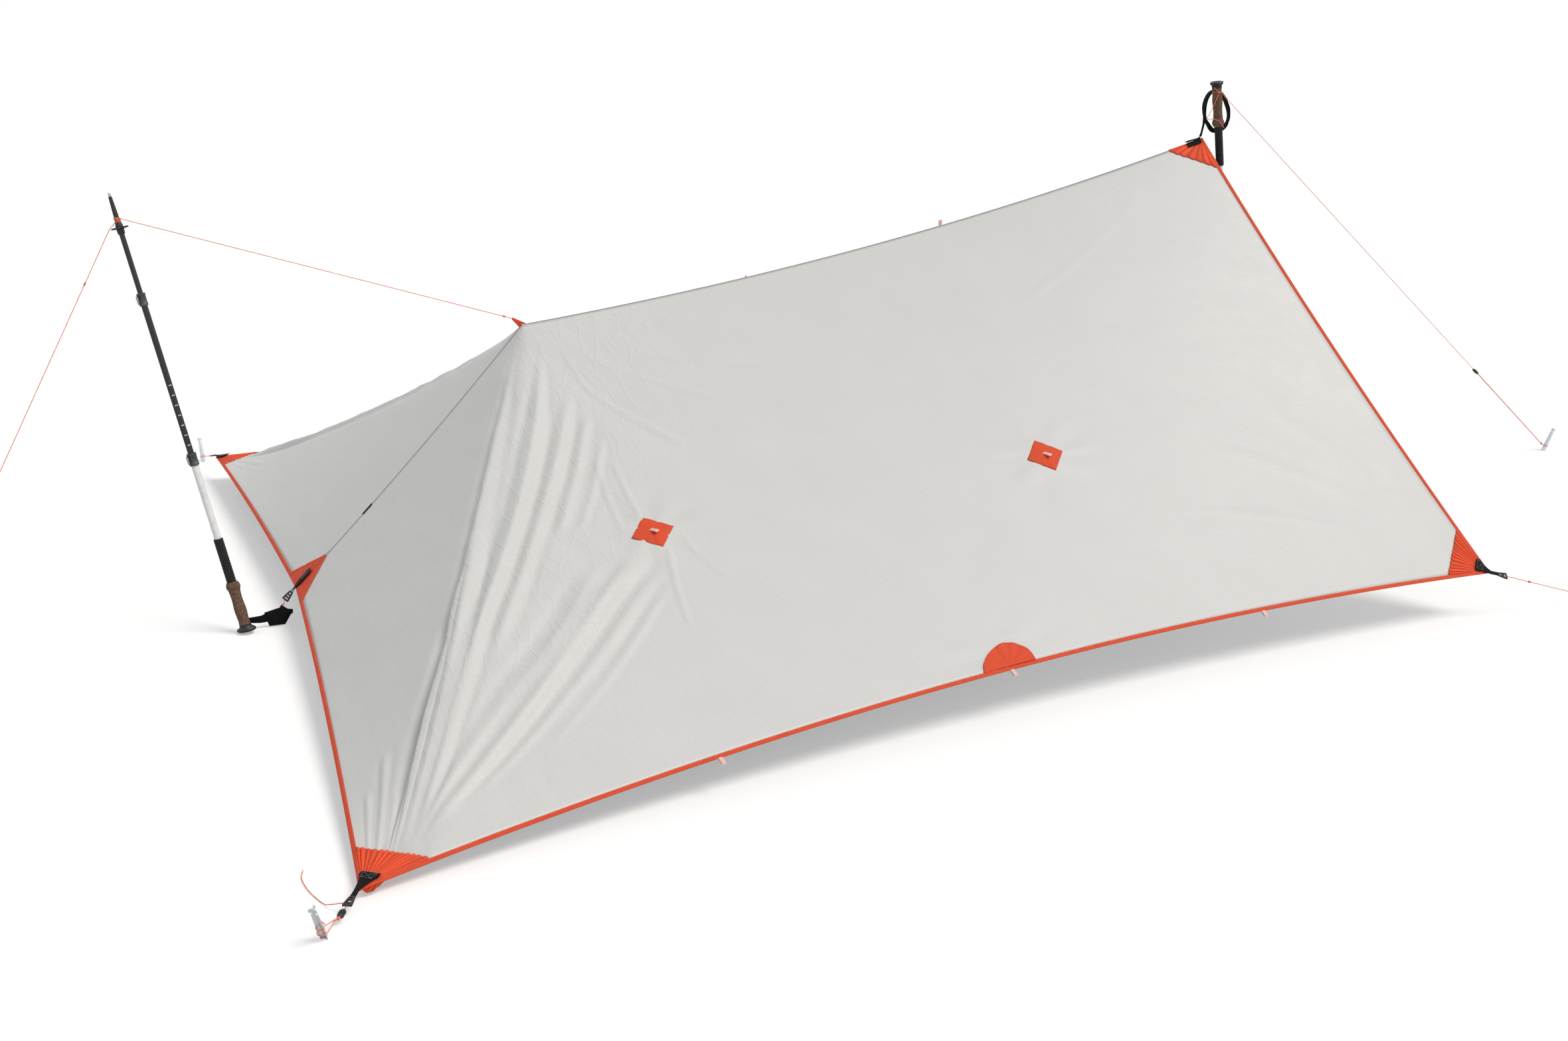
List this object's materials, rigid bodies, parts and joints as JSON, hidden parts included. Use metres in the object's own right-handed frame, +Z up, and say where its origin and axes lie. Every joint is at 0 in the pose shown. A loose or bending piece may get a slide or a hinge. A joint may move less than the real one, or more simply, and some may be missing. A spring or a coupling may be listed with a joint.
{
  "type": "camping tarp",
  "caption": "Flat ripstop shelter tarp pitched low at one end over adjustable trekking poles, with orange binding, webbing corner tabs, guylines and pegs.",
  "frame": {"origin": "centre of the pitched shelter's box in plan, level with the buried points of the pegs; ground level is 0.084 m above it", "axes": "+X along the ridge from the low end to the tall end, +Z up, the camera's side of the picture towards -Y"},
  "size_m": [5.367, 3.4906, 1.4031],
  "materials": {
    "canopy": "light grey coated ripstop fabric, slightly translucent",
    "seam": "folded grey ridge seam",
    "binding": "orange woven binding and patches",
    "webbing": "black woven webbing",
    "cord": "orange braided cord",
    "stake": "bright anodised aluminium",
    "carbon": "dark carbon fibre tube",
    "white_tube": "white gloss tube",
    "tip": "dark brown-black moulded tip and basket",
    "lock": "dark grey lock collar",
    "lever": "brushed lever",
    "foam": "black ribbed foam",
    "cork": "brown cork with a black pommel",
    "plastic": "black moulded buckle"
  },
  "bodies": {
    "root": {"cord_far_high": "cord", "cord_far_low": "cord", "cord_lock": "plastic", "cord_near_high": "cord", "cord_near_low": "cord", "cord_tail": "cord", "corner_patch_far_high": "binding", "corner_patch_far_low": "binding", "corner_patch_near_high": "binding", "corner_patch_near_low": "binding", "corner_tab_far_high": "webbing", "corner_tab_far_low": "webbing", "corner_tab_near_high": "webbing", "corner_tab_near_low": "webbing", "far_panel": "canopy", "hem_binding": "binding", "left_guyline": "cord", "left_lower_lock": "lock", "left_mid_tube": "carbon", "near_panel": "canopy", "peak_tab": "binding", "pull_out_far_high": "binding", "pull_out_far_low": "binding", "pull_out_near_high": "binding", "pull_out_near_low": "binding", "ridge_line": "cord", "ridge_patch_high": "binding", "ridge_patch_low": "binding", "ridge_seam": "seam", "ridge_tab_high": "webbing", "ridge_tab_low": "webbing", "right_foam_sleeve": "foam", "right_grip": "cork", "right_guyline": "cord", "right_strap": "webbing", "right_upper_lock": "lock", "right_upper_tube": "white_tube", "stake_far_high": "stake", "stake_far_low": "stake", "stake_left_guy": "stake", "stake_near_high": "stake", "stake_near_low": "stake", "stake_right_guy": "stake", "strap_cord": "cord"},
    "left_tip_section": {"left_tip": "tip", "left_lower_tube": "carbon"},
    "left_handle": {"left_grip": "cork", "left_foam_sleeve": "foam", "left_upper_tube": "white_tube", "left_upper_lock": "lock", "left_strap": "webbing"},
    "left_upper_clamp": {"left_upper_lever": "lever"},
    "left_lower_clamp": {"left_lower_lever": "lever"},
    "right_mid_section": {"right_mid_tube": "carbon", "right_lower_lock": "lock"},
    "right_tip_section": {"right_tip": "tip", "right_lower_tube": "carbon"},
    "right_upper_clamp": {"right_upper_lever": "lever"},
    "right_lower_clamp": {"right_lower_lever": "lever"},
    "line_tensioner": {"guy_tensioner": "plastic"}
  },
  "joints": [
    {"name": "left_tip_slide", "type": "slide", "parent": "root", "child": "left_tip_section", "axis": [-0.1858, 0.1391, 0.9727], "range_m": [-0.138, 0.21], "deforming": ["left_guyline", "ridge_line"]},
    {"name": "left_handle_slide", "type": "slide", "parent": "root", "child": "left_handle", "axis": [-0.1858, 0.1391, 0.9727], "range_m": [0, 0.35], "deforming": ["strap_cord"]},
    {"name": "left_upper_lever_hinge", "type": "hinge", "parent": "left_handle", "child": "left_upper_clamp", "pos_m": [-1.96517, -0.05911, 0.52701], "axis": [0.1858, -0.1391, -0.9727], "range_deg": [0, 110]},
    {"name": "left_lower_lever_hinge", "type": "hinge", "parent": "root", "child": "left_lower_clamp", "pos_m": [-2.04026, -0.00441, 0.91813], "axis": [0.1858, -0.1391, -0.9727], "range_deg": [0, 110]},
    {"name": "right_mid_slide", "type": "slide", "parent": "root", "child": "right_mid_section", "axis": [-0.1384, 0.0015, 0.9904], "range_m": [0, 0.35]},
    {"name": "right_tip_slide", "type": "slide", "parent": "right_mid_section", "child": "right_tip_section", "axis": [-0.1384, 0.0015, 0.9904], "range_m": [0, 0.355]},
    {"name": "right_upper_lever_hinge", "type": "hinge", "parent": "root", "child": "right_upper_clamp", "pos_m": [1.03394, -0.093, 0.95316], "axis": [-0.1384, 0.0015, 0.9904], "range_deg": [0, 110]},
    {"name": "right_lower_lever_hinge", "type": "hinge", "parent": "right_mid_section", "child": "right_lower_clamp", "pos_m": [1.08913, -0.09482, 0.55497], "axis": [-0.1384, 0.0015, 0.9904], "range_deg": [0, 110]},
    {"name": "line_tensioner_slide", "type": "slide", "parent": "root", "child": "line_tensioner", "axis": [0.7934, 0.0911, -0.6019], "range_m": [-0.6, 0.4]}
  ]
}
